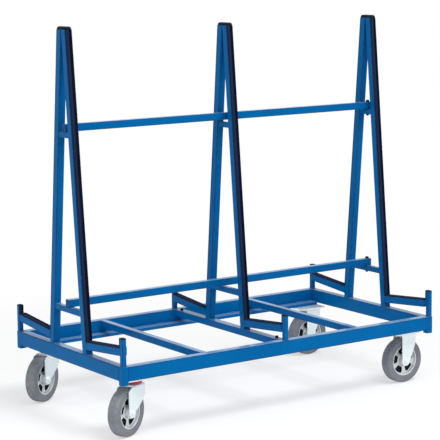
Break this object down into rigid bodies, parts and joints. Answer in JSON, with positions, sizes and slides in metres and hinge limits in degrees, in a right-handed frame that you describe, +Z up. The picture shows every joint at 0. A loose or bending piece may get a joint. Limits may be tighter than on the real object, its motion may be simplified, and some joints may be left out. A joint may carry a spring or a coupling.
{
  "type": "sheet goods cart",
  "caption": "A-frame trolley on swivel and fixed casters that carries sheet goods standing on edge against its rubber-lined legs, on both sides.",
  "frame": {"origin": "on the floor under the centre of the part's box, turned casters included", "axes": "+X along the cart from the swivel casters to the fixed casters, +Y across it to the rear, +Z up"},
  "size_m": [1.675, 0.87, 1.63],
  "materials": {
    "blue_coat": "satin blue powder coat",
    "black_rubber": "matt black rubber",
    "black_plastic": "matt black plastic",
    "zinc_steel": "bright zinc plate",
    "cast_alloy": "satin casting",
    "grey_tyre": "matt grey rubber",
    "red_plastic": "satin red"
  },
  "bodies": {
    "frame": {"arm_left_front": "blue_coat", "arm_left_rear": "blue_coat", "arm_middle_front": "blue_coat", "arm_middle_rear": "blue_coat", "arm_right_front": "blue_coat", "arm_right_rear": "blue_coat", "caster_bracket_front_right": "zinc_steel", "caster_bracket_rear_right": "zinc_steel", "caster_plate_front_left": "zinc_steel", "caster_plate_rear_left": "zinc_steel", "caster_ring_front_left": "red_plastic", "caster_ring_rear_left": "red_plastic", "corner_post_front_left": "blue_coat", "corner_post_front_right": "blue_coat", "corner_post_rear_left": "blue_coat", "corner_post_rear_right": "blue_coat", "leg_left_front": "blue_coat", "leg_left_rear": "blue_coat", "leg_middle_front": "blue_coat", "leg_middle_rear": "blue_coat", "leg_right_front": "blue_coat", "leg_right_rear": "blue_coat", "lining_left_front": "black_rubber", "lining_left_rear": "black_rubber", "lining_middle_front": "black_rubber", "lining_middle_rear": "black_rubber", "lining_right_front": "black_rubber", "lining_right_rear": "black_rubber", "long_tube_lower": "blue_coat", "long_tube_upper": "blue_coat", "lower_brace_left": "blue_coat", "lower_brace_middle": "blue_coat", "lower_brace_right": "blue_coat", "member_centre": "blue_coat", "member_left": "blue_coat", "member_right": "blue_coat", "middle_post_front": "blue_coat", "middle_post_rear": "blue_coat", "rail_front": "blue_coat", "rail_left": "blue_coat", "rail_rear": "blue_coat", "rail_right": "blue_coat", "top_cap_left": "black_plastic", "top_cap_middle": "black_plastic", "top_cap_right": "black_plastic", "upper_brace_left": "blue_coat", "upper_brace_middle": "blue_coat", "upper_brace_right": "blue_coat"},
    "swivel_front_left": {"caster_fork_front_left": "zinc_steel"},
    "swivel_rear_left": {"caster_fork_rear_left": "zinc_steel"},
    "wheel_front_left": {"rim_front_left": "cast_alloy", "tyre_front_left": "grey_tyre"},
    "wheel_rear_left": {"rim_rear_left": "cast_alloy", "tyre_rear_left": "grey_tyre"},
    "wheel_front_right": {"rim_front_right": "cast_alloy", "tyre_front_right": "grey_tyre"},
    "wheel_rear_right": {"rim_rear_right": "cast_alloy", "tyre_rear_right": "grey_tyre"}
  },
  "joints": [
    {"name": "swivel_front_left", "type": "hinge", "parent": "frame", "child": "swivel_front_left", "pos_m": [-0.68752, -0.347, 0.217], "axis": [0, 0, 1], "continuous": true},
    {"name": "spin_front_left", "type": "hinge", "parent": "swivel_front_left", "child": "wheel_front_left", "pos_m": [-0.73888, -0.36933, 0.1], "axis": [-0.3987, 0.9171, 0], "continuous": true},
    {"name": "swivel_rear_left", "type": "hinge", "parent": "frame", "child": "swivel_rear_left", "pos_m": [-0.68752, 0.347, 0.217], "axis": [0, 0, 1], "continuous": true},
    {"name": "spin_rear_left", "type": "hinge", "parent": "swivel_rear_left", "child": "wheel_rear_left", "pos_m": [-0.73697, 0.32071, 0.1], "axis": [-0.4695, 0.8829, 0], "continuous": true},
    {"name": "spin_front_right", "type": "hinge", "parent": "frame", "child": "wheel_front_right", "pos_m": [0.73248, -0.347, 0.1], "axis": [0, 1, 0], "continuous": true},
    {"name": "spin_rear_right", "type": "hinge", "parent": "frame", "child": "wheel_rear_right", "pos_m": [0.73248, 0.347, 0.1], "axis": [0, 1, 0], "continuous": true}
  ]
}
